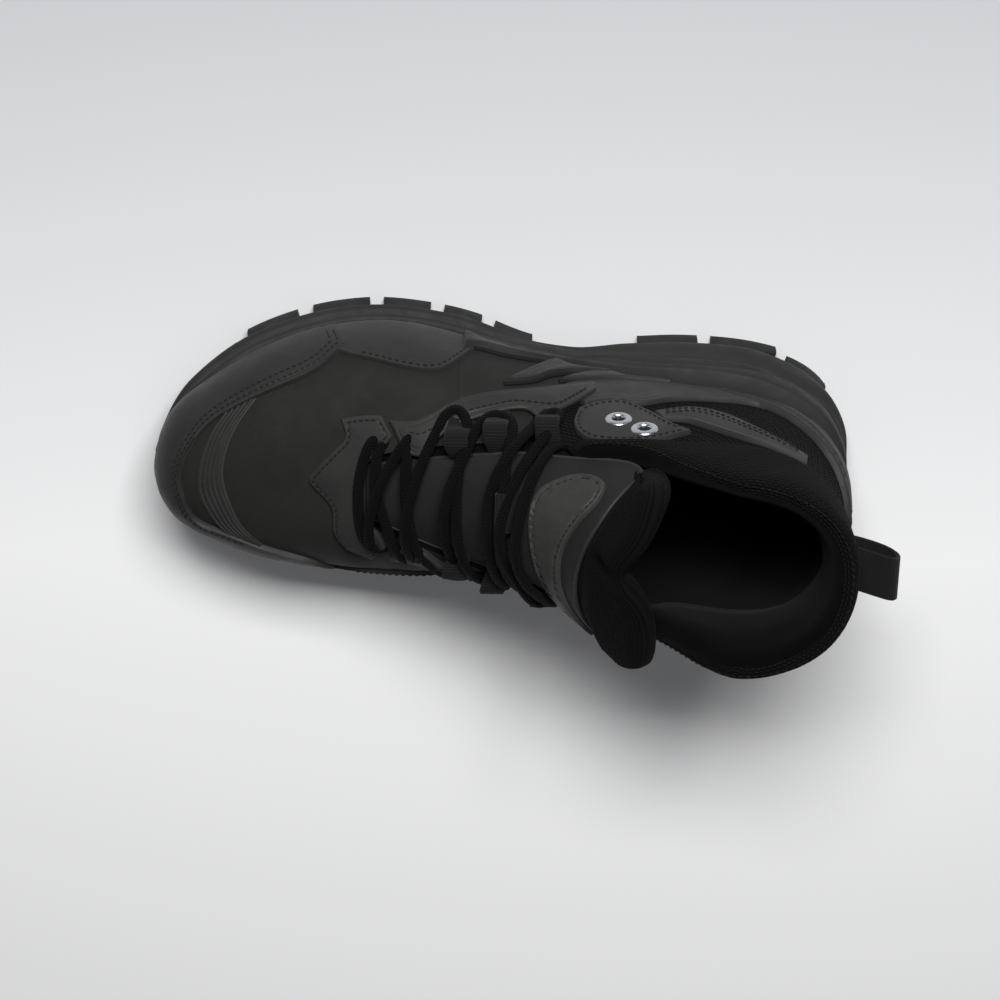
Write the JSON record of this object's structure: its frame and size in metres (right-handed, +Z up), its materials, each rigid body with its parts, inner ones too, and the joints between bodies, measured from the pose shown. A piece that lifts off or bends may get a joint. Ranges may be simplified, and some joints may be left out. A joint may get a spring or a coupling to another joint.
{
  "type": "sneaker boot",
  "caption": "Mid-cut lace-up hiking sneaker boot for the right foot, with a lugged sole, padded collar and tongue, overlays and a heel pull loop.",
  "frame": {"origin": "on the floor at the middle of the heel's centre lug", "axes": "+X towards the toe, -Y towards the outer side of the foot, +Z up out of the sole"},
  "size_m": [0.3089, 0.1176, 0.1618],
  "materials": {
    "leather": "matte nubuck",
    "smooth_leather": "smooth matte coated leather",
    "rubber": "satin moulded rubber",
    "knit": "coarse knit mesh",
    "lining": "soft textile lining",
    "webbing": "ribbed webbing and braided lace",
    "metal": "dark nickel"
  },
  "bodies": {
    "root": {"outsole": "rubber", "midsole": "rubber", "insole": "lining", "upper": "leather", "toe_cap": "smooth_leather", "heel_counter": "smooth_leather", "apron": "smooth_leather", "collar": "knit", "tongue": "leather", "tongue_patch": "smooth_leather", "laces": "webbing", "lace_keeper": "webbing", "pull_loop": "webbing", "guard_outer": "smooth_leather", "guard_inner": "smooth_leather", "quarter_outer": "smooth_leather", "quarter_inner": "smooth_leather", "wing_outer": "smooth_leather", "wing_inner": "smooth_leather", "eyelet_panel_outer": "smooth_leather", "eyelet_panel_inner": "smooth_leather", "eyestay_outer": "smooth_leather", "eyestay_inner": "smooth_leather", "eyelet_outer_1": "metal", "eyelet_outer_2": "metal", "eyelet_inner_1": "metal", "eyelet_inner_2": "metal", "lace_loop_outer_1": "webbing", "lace_loop_outer_2": "webbing", "lace_loop_outer_3": "webbing", "lace_loop_inner_1": "webbing", "lace_loop_inner_2": "webbing", "lace_loop_inner_3": "webbing"}
  },
  "joints": []
}
